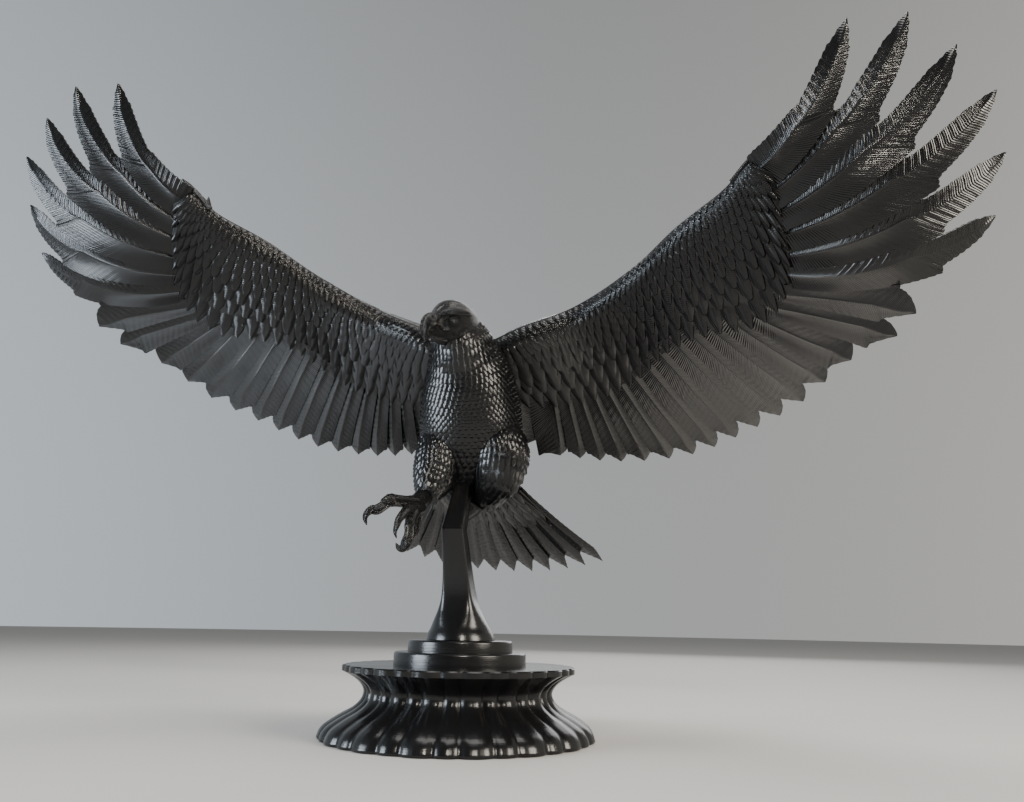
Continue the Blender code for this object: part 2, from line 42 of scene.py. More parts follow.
# The view: the sculpture is looked up at from in front and a little to its left, from below the wings, with a
# fairly wide lens that is turned a little to the left and tipped up.
VIEW_FROM = Vector((0.1441, -0.5336, 0.0712))
VIEW_TURN = math.radians(11.85)
VIEW_RISE = math.radians(15.9)
VIEW_ROLL = math.radians(1.1)
SENSOR = 36.0
PICTURE_WIDTH = 1024
FOCAL_PIXELS = 785.1

lens = bpy.data.cameras.new("view")
lens.sensor_width = SENSOR
lens.lens = FOCAL_PIXELS / PICTURE_WIDTH * SENSOR
lens.clip_start = 0.01
view = bpy.data.objects.new("view", lens)
bpy.context.scene.collection.objects.link(view)
level = Vector((math.cos(VIEW_TURN), math.sin(VIEW_TURN), 0))
level_ahead = Vector((-math.sin(VIEW_TURN), math.cos(VIEW_TURN), 0))
ahead = level_ahead * math.cos(VIEW_RISE) + Vector((0, 0, math.sin(VIEW_RISE)))
upright = level.cross(ahead)
view_right = level * math.cos(VIEW_ROLL) + upright * math.sin(VIEW_ROLL)
view_up = upright * math.cos(VIEW_ROLL) - level * math.sin(VIEW_ROLL)
turned = Matrix((view_right, view_up, -ahead)).transposed().to_4x4()
view.matrix_world = Matrix.Translation(VIEW_FROM) @ turned
bpy.context.scene.camera = view

# The plinth: a printed round base in glossy black, with a hollow waist, a flange, and pairs of a broad and
# a slim flute up its side. Two round steps on top are printed with it.
PLINTH_RADIUS = 0.090
WAIST_RADIUS = 0.0622
WAIST_HEIGHT = 0.028
FLANGE_RADIUS = 0.0770
FLANGE_TOP = 0.0447
FLANGE_LIP = 0.0038
FLANGE_EDGE = 0.0008
FOOT_ROUND = 0.0016
FOOT_FLARE = {
    0.0: 0.0, 0.11: 0.02, 0.23: 0.09, 0.33: 0.19, 0.434: 0.335, 0.535: 0.52, 0.657: 0.71, 0.758: 0.85,
    0.9: 0.955, 1.0: 0.985,
}
FLUTE_DEPTH = 0.0027
FULL_FLUTES = 1.0
UNDER_LIP_FLUTES = 0.9
EDGE_FLUTES = 0.85
TOP_FLUTES = 0.8
FLUTE_PAIRS = 16
FLUTE_TURN = 0.29
FLUTE_PROFILE = {
    0.0: 1.0, 0.03: 0.9, 0.09: 0.45, 0.16: 0.2, 0.29: 0.0, 0.42: 0.2, 0.49: 0.45, 0.55: 0.9, 0.58: 1.0,
    0.61: 0.9, 0.66: 0.5, 0.79: 0.25, 0.92: 0.5, 0.97: 0.9, 1.0: 1.0,
}
STEPS = ((0.0440, 0.0083), (0.0350, 0.0075))
STEP_EDGE = 0.0014
STEPS_TOP = FLANGE_TOP + STEPS[0][1] + STEPS[1][1]
PLINTH_AROUND = 384
SMOOTH_BELOW = 35
PLASTIC_GLOSS = 0.38
DEEP_BLACK = (0.0025, 0.0025, 0.0028, 1)
WORN_BLACK = (0.0085, 0.0085, 0.0090, 1)
LAYER_STRETCH = (14, 14, 2600)
BARB_PITCH = 0.15
BUMP_HEIGHT = 0.0002


class Shade:
    """A number that varies over a surface; arithmetic on it adds Math nodes."""

    def __init__(self, nodes, socket):
        self.nodes = nodes
        self.socket = socket

    def math(self, operation, *others):
        return self.nodes.node("ShaderNodeMath", {"operation": operation}, dict(enumerate((self, *others))))

    def __add__(self, other):
        return self.math("ADD", other)

    def __mul__(self, other):
        return self.math("MULTIPLY", other)

    __radd__ = __add__
    __rmul__ = __mul__

    def sine(self):
        return self.math("SINE")


class Nodes:
    """The nodes of a material or a world, and the one way of adding to them."""

    def __init__(self, owner, shader):
        self.owner = owner
        owner.use_nodes = True
        self.tree = owner.node_tree
        self.shader = self.tree.nodes[shader]

    def node(self, kind, settings, inputs, output=0):
        made = self.tree.nodes.new(kind)
        for key, value in settings.items():
            setattr(made, key, value)
        for key, value in inputs.items():
            value = getattr(value, "socket", value)
            if isinstance(value, bpy.types.NodeSocket):
                self.tree.links.new(value, made.inputs[key])
            else:
                made.inputs[key].default_value = value
        return Shade(self, made.outputs[output])

    def noise(self, place, scale, detail, roughness):
        inputs = {"Vector": place, "Scale": scale, "Detail": detail, "Roughness": roughness}
        return self.node("ShaderNodeTexNoise", {}, inputs)

    def feed(self, name, value):
        self.tree.links.new(value.socket, self.shader.inputs[name])


def printed_plastic(name, feathered):
    """Glossy black plastic with the faint bands of its printed layers, and fine barbs where feathered."""
    finish = Nodes(bpy.data.materials.new(name), "Principled BSDF")
    finish.shader.inputs["Specular IOR Level"].default_value = PLASTIC_GLOSS
    surface = finish.node("ShaderNodeTexCoord", {}, {}, "Object")
    flat = finish.node("ShaderNodeMapping", {}, {"Vector": surface, "Scale": LAYER_STRETCH})
    layers = finish.noise(flat, 1.0, 2.0, 0.5)
    cloud = finish.noise(surface, 38.0, 4.0, 0.6)
    grain = finish.noise(surface, 1100.0, 2.0, 0.6)
    finish.feed("Roughness", 0.13 + layers * 0.06 + cloud * 0.10)
    blacks = {"Factor": cloud, 6: DEEP_BLACK, 7: WORN_BLACK}
    finish.feed("Base Color", finish.node("ShaderNodeMix", {"data_type": "RGBA"}, blacks, 2))
    height = layers * 0.45 + grain * 0.30
    if feathered:
        barbs = finish.node("ShaderNodeUVMap", {"uv_map": "feather"}, {}, "UV")
        along = finish.node("ShaderNodeSeparateXYZ", {}, {0: barbs}, "Y")
        height = height + (along * (2 * math.pi / BARB_PITCH)).sine() * 0.7
    bump = {"Strength": 0.6, "Distance": BUMP_HEIGHT, "Height": height}
    finish.feed("Normal", finish.node("ShaderNodeBump", {}, bump, "Normal"))
    return finish.owner


def finished(piece, material, node, angle):
    """Gives a piece its finish and smooth shading, hangs it on the root, and hides the imported part it
    stands in for.
    """
    piece.data.materials.clear()
    piece.data.materials.append(material)
    bpy.ops.object.select_all(action="DESELECT")
    bpy.context.view_layer.objects.active = piece
    piece.select_set(True)
    bpy.ops.object.shade_smooth_by_angle(angle=math.radians(angle))
    piece.select_set(False)
    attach(piece, "root")
    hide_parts(node)


class Guide:
    """A smooth line through {place: value} keys, numbers or points, read at any number of places."""

    def __init__(self, keys):
        self.places = np.array(sorted(keys), float)
        self.values = np.array([keys[place] for place in sorted(keys)], float)
        if self.values.ndim == 1:
            self.values = self.values[:, None]
        low = np.maximum(np.arange(len(self.places)) - 1, 0)
        high = np.minimum(np.arange(len(self.places)) + 1, len(self.places) - 1)
        spans = (self.places[high] - self.places[low])[:, None]
        self.slopes = (self.values[high] - self.values[low]) / spans

    def __call__(self, at):
        at = np.clip(np.asarray(at, float), self.places[0], self.places[-1])
        i = np.clip(np.searchsorted(self.places, at, side="right") - 1, 0, len(self.places) - 2)
        step = (self.places[i + 1] - self.places[i])[..., None]
        t = (at - self.places[i])[..., None] / step
        value = self.values[i] * (2 * t**3 - 3 * t**2 + 1) + self.values[i + 1] * (3 * t**2 - 2 * t**3)
        value = value + (self.slopes[i] * (t**3 - 2 * t**2 + t) + self.slopes[i + 1] * (t**3 - t**2)) * step
        return value[..., 0] if value.shape[-1] == 1 else value


def plinth_side():
    """(height, radius, share of the flutes' depth) up the side, then over the flange and the two steps."""
    rows = []
    for angle in np.radians((-80, -50, -20, 10, 40)):
        reach = PLINTH_RADIUS - FOOT_ROUND * (1 - math.cos(angle))
        rows.append((FOOT_ROUND * (1 + math.sin(angle)), reach, FULL_FLUTES))
    rows[0] = (0.0, rows[0][1], FULL_FLUTES)
    foot_height = rows[-1][0]
    flare = Guide(FOOT_FLARE)
    for share in np.linspace(0.94, 0, 17):
        rows.append((
            WAIST_HEIGHT + (foot_height - WAIST_HEIGHT) * share,
            WAIST_RADIUS + (PLINTH_RADIUS - WAIST_RADIUS) * float(flare(share)), FULL_FLUTES,
        ))
    under_lip = FLANGE_TOP - FLANGE_LIP
    for share in np.linspace(0.1, 1, 9):
        rows.append((
            WAIST_HEIGHT + (under_lip - WAIST_HEIGHT) * share,
            WAIST_RADIUS + (FLANGE_RADIUS - WAIST_RADIUS) * share**2,
            FULL_FLUTES + (UNDER_LIP_FLUTES - FULL_FLUTES) * share,
        ))
    rows.append((FLANGE_TOP - FLANGE_EDGE, FLANGE_RADIUS, EDGE_FLUTES))
    rows.append((FLANGE_TOP, FLANGE_RADIUS - FLANGE_EDGE, TOP_FLUTES))
    foot = FLANGE_TOP
    for radius, rise in STEPS:
        rows += [(foot, radius, 0.0), (foot + rise - STEP_EDGE, radius, 0.0)]
        rows += [
            (foot + rise - STEP_EDGE * (1 - math.sin(a)), radius - STEP_EDGE * (1 - math.cos(a)), 0.0)
            for a in np.radians((30, 60, 90))
        ]
        foot += rise
    return rows


def flute(angle):
    """How deep the carving is at an angle: 1 in a groove, 0 on the broad lobe, a little on the slim one."""
    pair = (angle + math.pi / 2) * FLUTE_PAIRS / (2 * math.pi) + FLUTE_TURN
    return np.interp(pair % 1.0, list(FLUTE_PROFILE), list(FLUTE_PROFILE.values()))


bpy.ops.mesh.primitive_circle_add(vertices=PLINTH_AROUND, radius=1, fill_type="NGON", location=(0, 0, 0))
plinth = bpy.context.object
plinth.name = "plinth_print"
side = plinth_side()
bpy.ops.object.mode_set(mode="EDIT")
bpy.ops.mesh.select_all(action="SELECT")
for _ in side[1:]:
    bpy.ops.mesh.extrude_region_move(TRANSFORM_OT_translate={"value": (0, 0, 1)})
bpy.ops.object.mode_set(mode="OBJECT")
for point in plinth.data.vertices:
    height, radius, share = side[round(point.co.z)]
    angle = math.atan2(point.co.y, point.co.x)
    reach = radius - FLUTE_DEPTH * share * flute(angle)
    point.co = (reach * math.cos(angle), reach * math.sin(angle), height)
bpy.ops.object.mode_set(mode="EDIT")
bpy.ops.mesh.select_all(action="SELECT")
bpy.ops.mesh.normals_make_consistent(inside=False)
bpy.ops.object.mode_set(mode="OBJECT")
finished(plinth, printed_plastic("printed black plinth", False), "plinth", SMOOTH_BELOW)

# The post: a rounded square rod, printed on its own, that leans forward under the bird's belly and spreads
# into a round bell of a foot on the top step.
SEAT_GAP = 0.0003
POST_HEIGHT = 0.0717
POST_FOOT_RADIUS = 0.0233
POST_TOP_SIDE = 0.0148
POST_FORWARD = 0.015
POST_TAPER = 0.30
POST_LEAN_CURVE = 1.8
CORNER_SHARE = 0.22
CORNER_SPREAD = 1.3
SQUARENESS = 5.0
FIGURE_SHIFT = -0.003
POST_BELL = {0.0: 1.0, 0.05: 0.93, 0.11: 0.76, 0.18: 0.55, 0.27: 0.31, 0.38: 0.14, 0.62: 0.04, 1.0: 0.0}
POST_ROWS = 40
POST_AROUND = 64


def rounded_square(side, corner, angle):
    """A point round a square with rounded corners, as (x, y)."""
    reach = side / 2 - corner
    full = math.tanh(SQUARENESS)
    x = np.tanh(SQUARENESS * np.cos(angle)) / full * reach + corner * np.cos(angle)
    y = np.tanh(SQUARENESS * np.sin(angle)) / full * reach + corner * np.sin(angle)
    return x, y


bpy.ops.mesh.primitive_cylinder_add(
    vertices=POST_AROUND, radius=1, depth=1, end_fill_type="TRIFAN", location=(0, 0, 0.5),
)
post = bpy.context.object
post.name = "post_print"
bpy.ops.object.transform_apply(location=True)
bpy.ops.object.mode_set(mode="EDIT")
for cut in range(1, POST_ROWS):
    bpy.ops.mesh.select_all(action="SELECT")
    bpy.ops.mesh.bisect(plane_co=(0, 0, cut / POST_ROWS), plane_no=(0, 0, 1))
bpy.ops.object.mode_set(mode="OBJECT")
post_bell = Guide(POST_BELL)
for point in post.data.vertices:
    share = point.co.z
    spread = float(post_bell(share))
    side_here = POST_TOP_SIDE * (1 + POST_TAPER * (1 - share))
    side_here += (2 * POST_FOOT_RADIUS - side_here) * spread
    corner = side_here / 2 * (CORNER_SHARE + (1 - CORNER_SHARE) * min(1.0, spread * CORNER_SPREAD))
    angle = math.atan2(point.co.y, point.co.x)
    x, y = rounded_square(side_here, corner, angle)
    reach = math.hypot(point.co.x, point.co.y)
    point.co = (
        FIGURE_SHIFT * share + x * reach, -POST_FORWARD * share**POST_LEAN_CURVE + y * reach,
        STEPS_TOP + SEAT_GAP + POST_HEIGHT * share,
    )
finished(post, printed_plastic("printed black post", False), "post", SMOOTH_BELOW)

# The eagle is printed in one with its stub: first come the arms of the wings, smooth rounded forms from the
# shoulder to the hand. The figure is laid out upright in millimetres, then leans a little on the post.
UNIT = 0.001
STAND = np.array((0, -15, 132.3))
FIGURE_LEAN = math.radians(2.6)
POST_TOP = STEPS_TOP + SEAT_GAP + POST_HEIGHT
FIGURE_FOOT = np.array((FIGURE_SHIFT, -POST_FORWARD, POST_TOP + SEAT_GAP))
FINGERS = 6
FIRST_FEATHER = 1
LAST_FEATHER = 24
WING_FRONT = Guide({
    1: (190, -97, 351), 4: (182, -88, 347), 7: (172, -79, 341), 11: (146, -57, 331),
    14: (118, -31, 316), 18: (76, -9, 297), 22: (37, -12, 280), 24: (6, -6, 268),
})
COVERT_END = Guide({
    1: (203, -94, 345), 3: (210, -79, 323), 5: (216, -61, 303), 7: (212, -42, 289), 9: (197, -26, 280),
    11: (169, -13, 277), 13: (146, 0, 270), 16: (116, 28, 254), 19: (84, 38, 245), 22: (54, 34, 238),
    24: (26, 26, 232),
})
ARM_THICKNESS = Guide({1: 1.8, 3: 2.6, 5: 3.8, 7: 5.2, 11: 7.5, 16: 9.5, 20: 11, 24: 12})
QUILL = 1.5
NOSE_SHARES = (0.0, 0.012, 0.035, 0.08, 0.15, 1.0)
NOSE_HEIGHTS = (0.0, 0.32, 0.58, 0.86, 1.0, 0.0)
ARM_COLUMNS = 48
ARM_ROWS = 10
ARM_CROWDING = 1.35
NUMBER_STEP = 0.25
eagle_parts = []


def place(points):
    """Points of the figure's own layout, leaned and set on the post, in metres."""
    away = np.asarray(points, float) - STAND
    cosine = math.cos(FIGURE_LEAN)
    sine = math.sin(FIGURE_LEAN)
    x, y, z = np.moveaxis(away, -1, 0)
    leaned = np.stack([x * cosine + z * sine, y, z * cosine - x * sine], -1)
    return leaned * UNIT + FIGURE_FOOT


def unit(vectors):
    return vectors / np.maximum(np.linalg.norm(vectors, axis=-1, keepdims=True), 1e-9)


def closed_grid(across, along):
    """A thin closed slab to be laid along a form: x and y from -1 to 1, faces at z = 0 and z = -1."""
    bpy.ops.mesh.primitive_grid_add(x_subdivisions=across, y_subdivisions=along, size=2, location=(0, 0, 0))
    slab = bpy.context.object
    wall = slab.modifiers.new("wall", "SOLIDIFY")
    wall.thickness = 1
    wall.offset = -1
    bpy.ops.object.modifier_apply(modifier="wall")
    return slab


def laid(slab, name, points, feather=None):
    """Copies of a slab with new corners in the figure's layout: points is (copies, corners, 3)."""
    points = np.asarray(points, float)
    if points.ndim == 2:
        points = points[None]
    mesh = slab.data
    faces = [tuple(face.vertices) for face in mesh.polygons]
    count = len(mesh.vertices)
    all_faces = [tuple(corner + count * k for corner in face) for k in range(len(points)) for face in faces]
    made = bpy.data.meshes.new(name)
    made.from_pydata(place(points).reshape(-1, 3).tolist(), [], all_faces)
    layer = made.uv_layers.new(name="feather")
    if feather is not None:
        corners = np.empty(len(made.loops), np.int32)
        made.loops.foreach_get("vertex_index", corners)
        layer.data.foreach_set("uv", np.asarray(feather, np.float32).reshape(-1, 2)[corners].ravel())
    piece = bpy.data.objects.new(name, made)
    bpy.context.scene.collection.objects.link(piece)
    eagle_parts.append(piece)
    return piece


def slab_places(slab):
    """The corners of a slab as across (-1 to 1), along (0 to 1) and face (1 front, -1 back)."""
    corners = np.array([point.co for point in slab.data.vertices])
    return corners[:, 0], (corners[:, 1] + 1) / 2, np.where(corners[:, 2] > -0.5, 1.0, -1.0)


def drop(*slabs):
    for slab in slabs:
        bpy.data.objects.remove(slab)


def arm(number, share, face, proud=0.0):
    """A point on the arm under the coverts: number counts feathers from the outermost, share runs from the
    leading edge to the coverts' end, and proud is how far it stands out of the surface."""
    front = WING_FRONT(number)
    end = COVERT_END(number)
    low = np.clip(number - NUMBER_STEP, FIRST_FEATHER, LAST_FEATHER)
    high = np.clip(number + NUMBER_STEP, FIRST_FEATHER, LAST_FEATHER)
    down = share[..., None]
    across = (WING_FRONT(low) - WING_FRONT(high)) * (1 - down) + (COVERT_END(low) - COVERT_END(high)) * down
    out = unit(np.cross(end - front, across))
    height = ARM_THICKNESS(number) * np.interp(share, NOSE_SHARES, NOSE_HEIGHTS)
    height = QUILL * np.clip(share, 0, 1) + height
    return front + (end - front) * down + out * (face * (height + proud))[..., None]


slab = closed_grid(ARM_COLUMNS, ARM_ROWS)
across, along, face = slab_places(slab)
number = (FIRST_FEATHER + LAST_FEATHER) / 2 + (LAST_FEATHER - FIRST_FEATHER) / 2 * across
arm_shape = arm(number, along**ARM_CROWDING, face)
for flip in (1, -1):
    laid(slab, "arm", arm_shape * (flip, 1, 1))
drop(slab)

# The flight feathers: six slim fingers, then shorter ones that close the wing to the body. Each has a raised
# shaft, slanting ridges of barbs on both sides, and lies over the front edge of the next.
FINGER_TIP = Guide({
    1: (243, -125, 426), 2: (275, -128, 424), 4: (324, -108, 383), 5: (334, -86, 356), 6: (332, -68, 325),
})
FEATHER_TIP = Guide({
    7: (293, -39, 275), 8: (286, -21, 267), 9: (262, 0, 258), 11: (236, 36, 239), 13: (207, 65, 227),
    16: (160, 89, 210), 19: (104, 90, 203), 22: (56, 80, 205), 24: (28, 62, 208),
})
SHAFT_SAG = Guide({
    1: (1, -5, -14), 2: (5, -7, -13), 3: (5, -10, -16), 5: (1, -9, -20), 6: (0, -6, -18), 7: (-2, -2, 0),
    9: (1, 1, -2), 24: (0, 0, 0),
})
NOTCH = Guide({1: 0.36, 3: 0.45, 5: 0.52, 6: 0.60, 7: 0.69, 8: 0.74, 9: 0.76, 24: 0.76})
HAND_EDGE = np.array(((200, -104, 359), (210, -110, 370)), float)
FINGER_WIDTHS = ((0.0, 9.6), (0.22, 9.2), (0.5, 8.0), (0.74, 6.2), (0.78, 5.0), (0.9, 2.9), (1.0, 0.3))
INNER_TIP = ((0.0, 1.0), (0.2, 0.88), (0.4, 0.70), (0.6, 0.48), (0.8, 0.25), (1.0, 0.03))
OUTER_TIP = ((0.0, 1.0), (0.3, 0.97), (0.5, 0.86), (0.7, 0.66), (0.87, 0.36), (1.0, 0.03))
BLADE_TURN = 0.16
VANE_LIMIT = 0.40
LIMIT_UNTIL = 0.85
LEAST_WIDTH = 0.3
LAST_VANE = 0.7
CLOSED_OVERLAP = 0.20
ROOT = -0.08
FAR_END = 0.996
SLANT = 1.5
SLANT_START = 0.35
SHAFT_HEIGHT = 1.0
SHAFT_THINNING = 0.7
SHAFT_FOOT = 1.3
BARB_STEEPNESS = 1.3
BARB_JAG = 0.9
BARBS_END = 0.80
# Across a feather, at the seven corners of its six columns: the place on the vanes, the foot of the shaft,
# the height of the body and the height of the barbs.
COLUMNS = 6
ACROSS_VANES = (1, 0.58, 0, 0, 0, 0.58, 1)
ACROSS_SHAFT = (0, 0, 1, 0, 1, 0, 0)
VANE_BODY = (0.3, 0.7, 0.9, 1.0, 0.9, 0.7, 0.3)
BARB_SHARES = (0.6, 1, 0.3, 0, 0.3, 1, 0.6)
Feather = namedtuple("Feather", "end tip sag notch widths")


def shaft(feather, share):
    """A point on a feather's shaft, from the coverts' end to its tip."""
    share = np.asarray(share, float)[..., None]
    control = (feather.end + feather.tip) / 2 + feather.sag * 2
    return feather.end * (1 - share) ** 2 + control * (2 * share * (1 - share)) + feather.tip * share**2


def clear_of(gap, line):
    """The length of a gap square to a line."""
    return np.linalg.norm(gap - line * np.sum(gap * line, -1, keepdims=True), axis=-1)


def half_width(feather, share, beside, edge, tip_shape):
    """The distance from the shaft to the feather's edge: half way to its neighbour, then a free blade."""
    notch = feather.notch
    vane = np.clip(share / notch, 0, 1)
    free = np.clip((share - notch) / (1 - notch), 0, 1)
    limit = np.full_like(vane, np.inf)
    if edge is not None:
        to_edge = edge[0] + (edge[1] - edge[0]) * vane[..., None]
        half = np.linalg.norm(to_edge - shaft(feather, vane * notch), axis=-1)
    else:
        along_shaft = unit(shaft(feather, share + 0.01) - shaft(feather, share - 0.01))
        half = clear_of(shaft(beside, vane * beside.notch) - shaft(feather, vane * notch), along_shaft) / 2
        gap = shaft(beside, beside.notch + (1 - beside.notch) * free) - shaft(feather, share)
        limit = np.maximum(VANE_LIMIT * clear_of(gap, along_shaft), LEAST_WIDTH)
    if feather.widths is None:
        return half * np.interp(free, *zip(*tip_shape))
    blade = np.interp(free, *zip(*feather.widths))
    blade = np.where(free < LIMIT_UNTIL, np.minimum(blade, limit), blade)
    turn = np.clip(free / BLADE_TURN, 0, 1)
    turn = turn * turn * (3 - 2 * turn)
    return half * (1 - turn) + blade * turn


def lay_feather(
    name, feather, inner, outer, normal, barb, rim=None, tilt=0.9, lead=0.3, flips=(1, -1),
    tips=(INNER_TIP, OUTER_TIP),
):
    """One flight feather with its barbs: barb is their pitch, rows to each, height on the vanes and height on
    the back vane where it is closed. inner and outer are its neighbours."""
    length = float(np.linalg.norm(feather.tip - feather.end)) * (1 - ROOT)
    pitch, steps, tall, closed_tall = barb
    count = steps * round(length / pitch)
    slab = closed_grid(COLUMNS, count)
    across, along, face = slab_places(slab)
    column = np.rint((across + 1) * COLUMNS / 2).astype(int)
    row = np.rint(along * count).astype(int)
    base = ROOT + (1 - ROOT) * along
    free = np.clip((base - feather.notch) / (1 - feather.notch), 0, 1)
    grow = 1.0 + CLOSED_OVERLAP * (1 - np.clip(free * 5, 0, 1))
    inner_half = half_width(feather, base, inner or outer, None, tips[0]) * grow * (1 if inner else LAST_VANE)
    outer_half = half_width(feather, base, outer or inner, rim if outer is None else None, tips[1])
    outer_half = outer_half * (grow if outer is not None else 1)
    shift = lead * np.clip(1 - free * 1.5, 0, 1) * outer_half
    back = column < COLUMNS // 2
    reach = np.where(back, inner_half + shift, outer_half - shift)
    saw = (row % steps) / steps
    jag = np.where(np.isin(column, (0, COLUMNS)) & (row < count - 2), BARB_JAG * tall * saw, 0)
    spread = np.array(ACROSS_VANES)[column]
    foot = np.array(ACROSS_SHAFT)[column] * np.minimum(SHAFT_FOOT, reach * 0.25)
    away = reach * spread + foot + jag
    x = shift + np.where(back, -away, away)
    slant = SLANT * np.clip(along / SLANT_START, 0, 1) * (1 - along) ** 0.7
    if feather.widths is None:
        slant = slant * (1 - free)
    share = np.clip(base + slant * away / length, ROOT, FAR_END)
    centre = shaft(feather, share)
    forward = unit(shaft(feather, np.clip(share + 0.02, None, 1.02)) - shaft(feather, share - 0.02))
    out = unit(normal - forward * np.sum(forward * normal, -1, keepdims=True))
    sideways = np.cross(out, forward)
    wide = np.maximum(np.where(x > 0, outer_half, inner_half), LEAST_WIDTH)
    thin = np.clip(wide / 3.0, 0.2, 1)
    body = np.array(VANE_BODY)[column] * thin
    ridge = np.where(column == COLUMNS // 2, SHAFT_HEIGHT * (1 - SHAFT_THINNING * along), 0)
    strength = np.where(back & (free < 0.02), closed_tall, tall) * np.clip(wide / 4, 0, 1)
    rise = np.sin(math.pi * np.clip(saw * BARB_STEEPNESS, 0, 1))
    relief = strength * rise * np.array(BARB_SHARES)[column]
    smooth_tip = np.clip((BARBS_END - free) * 12, 0, 1)
    height = face * (body + relief * smooth_tip + ridge) - tilt * x / wide * (1 - 0.5 * free)
    points = centre + sideways * x[:, None] + out * height[:, None]
    feather_map = np.stack([x / 10, base * length / 10], -1)
    for flip in flips:
        laid(slab, name, points * (flip, 1, 1), feather_map)
    drop(slab)


def wing_feather(number):
    finger = number <= FINGERS
    tip = (FINGER_TIP if finger else FEATHER_TIP)(number)
    widths = FINGER_WIDTHS if finger else None
    return Feather(COVERT_END(number), tip, SHAFT_SAG(number), float(NOTCH(number)), widths)


FINGER_BARB = (4.7, 3, 0.80, 0.20)
FEATHER_BARB = (5.6, 3, 0.48, 0.48)
FINGER_LEAD = 0.38
FEATHER_LEAD = 0.12
wing_numbers = (LAST_FEATHER, *range(LAST_FEATHER - 2, 0, -1))
wing_feathers = [wing_feather(n) for n in wing_numbers]
for i, feather in enumerate(wing_feathers):
    inner = wing_feathers[i - 1] if i else None
    outer = wing_feathers[i + 1] if i + 1 < len(wing_feathers) else None
    low = wing_feathers[max(i - 1, 0)]
    high = wing_feathers[min(i + 1, len(wing_feathers) - 1)]
    sideways = shaft(high, high.notch * 0.5) - shaft(low, low.notch * 0.5)
    normal = unit(np.cross(shaft(feather, feather.notch) - shaft(feather, 0.0), sideways))
    finger = wing_numbers[i] <= FINGERS
    barb = FINGER_BARB if finger else FEATHER_BARB
    lead = FINGER_LEAD if finger else FEATHER_LEAD
    lay_feather("flight_feather", feather, inner, outer, normal, barb, HAND_EDGE, lead=lead)

# The coverts: rows of small rounded feathers over the arms, tiny at the leading edge and larger down the
# wing, each row lying over the roots of the next. The back of the wing has fewer and plainer rows.
FRONT_COVERTS = (
    # where the row's tips lie, width, length, pointedness
    (1.07, 10.2, 24.0, 0.75), (0.89, 10.6, 21.0, 0.35), (0.73, 9.6, 19.0, 0.25), (0.58, 8.2, 17.0, 0.2),
    (0.44, 6.8, 15.0, 0.2), (0.32, 5.8, 13.0, 0.2), (0.22, 5.2, 11.0, 0.2), (0.14, 4.8, 9.0, 0.2),
    (0.075, 5.2, 8.0, 0.1),
)
BACK_COVERTS = (
    (1.05, 12.5, 24.0, 0.6), (0.78, 11.5, 20.0, 0.4), (0.53, 10.5, 17.0, 0.3), (0.31, 9.5, 14.0, 0.2),
    (0.13, 8.0, 9.0, 0.1),
)
COVERT_LIFT = 0.23
COVERT_HALF = 0.56
COVERT_JITTER = 0.03


def scale_master():
    """One small feather as a closed scale: 4 by 4 faces above, and one below."""
    bpy.ops.mesh.primitive_grid_add(x_subdivisions=4, y_subdivisions=4, size=2, location=(0, 0, 0))
    scale = bpy.context.object
    bpy.ops.object.mode_set(mode="EDIT")
    bpy.ops.mesh.select_all(action="SELECT")
    bpy.ops.mesh.region_to_loop()
    bpy.ops.mesh.edge_face_add()
    bpy.ops.object.mode_set(mode="OBJECT")
    return scale


scale = scale_master()
scale_x, scale_y, _ = slab_places(scale)
SCALE_X = np.interp(scale_x, (-1, -0.5, 0, 0.5, 1), (-1, -0.80, 0, 0.80, 1))
SCALE_Y = np.interp(scale_y, (0, 0.25, 0.5, 0.75, 1), (0, 0.38, 0.70, 0.93, 1.0))
SCALE_BORDER = (np.abs(scale_x) > 0.9) | (scale_y > 0.95) | (scale_y < 0.05)


def scale_form(point, lift):
    """The scale's corners: across and along in shares of its width and length, height in millimetres."""
    body = np.clip((SCALE_Y - 0.30) / 0.70, 0, 1)
    wide = np.sqrt(1 - body**2.2) * (1 - point) + (1 - body**1.6) * point
    wide = np.maximum(wide, 0.10) * (0.80 + 0.20 * np.clip(SCALE_Y / 0.3, 0, 1))
    height = lift * ((1.15 * SCALE_Y - 0.15) * (1 - 0.25 * SCALE_X**2) + 0.22 * (np.abs(SCALE_X) < 0.1))
    height = np.where(SCALE_BORDER, -0.6 + 0.35 * lift * SCALE_Y, height)
    return SCALE_X * wide, SCALE_Y, height


def lay_coverts(face, rows, start, stop):
    """Rows of scales on one face of both arms, evenly spaced along each row."""
    for row, (tips, width, length, point) in enumerate(rows):
        fine = np.linspace(start, stop, 400)
        line = arm(fine, np.full_like(fine, min(tips - 0.08, 1.0)), np.full_like(fine, face))
        run = np.concatenate([[0], np.cumsum(np.linalg.norm(np.diff(line, axis=0), axis=-1))])
        count = round(run[-1] / width)
        shape_x, shape_y, height = scale_form(point, COVERT_LIFT * width)
        placed = []
        maps = []
        chevron = (shape_y * length - np.abs(shape_x) * width * 0.5) / 10
        for k in range(count):
            middle = run[-1] * (k + (0.25 if row % 2 else 0.75)) / count
            number = np.interp(middle + shape_x * width * COVERT_HALF, run, fine)
            centre_number = np.interp(middle, run, fine)
            chord = np.linalg.norm(COVERT_END(centre_number) - WING_FRONT(centre_number))
            jitter = COVERT_JITTER * math.sin(k * 12.9898 + row * 4.1)
            share = np.maximum(tips + jitter - (1 - shape_y) * length / chord, 0.004)
            placed.append(arm(number, share, np.full_like(share, face), height))
            maps.append(np.stack([shape_x * width / 20, chevron], -1))
        for flip in (1, -1):
            laid(scale, "covert", np.array(placed) * (flip, 1, 1), maps)


lay_coverts(1.0, FRONT_COVERTS, start=23.8, stop=1.2)
lay_coverts(-1.0, BACK_COVERTS, start=23.0, stop=1.2)

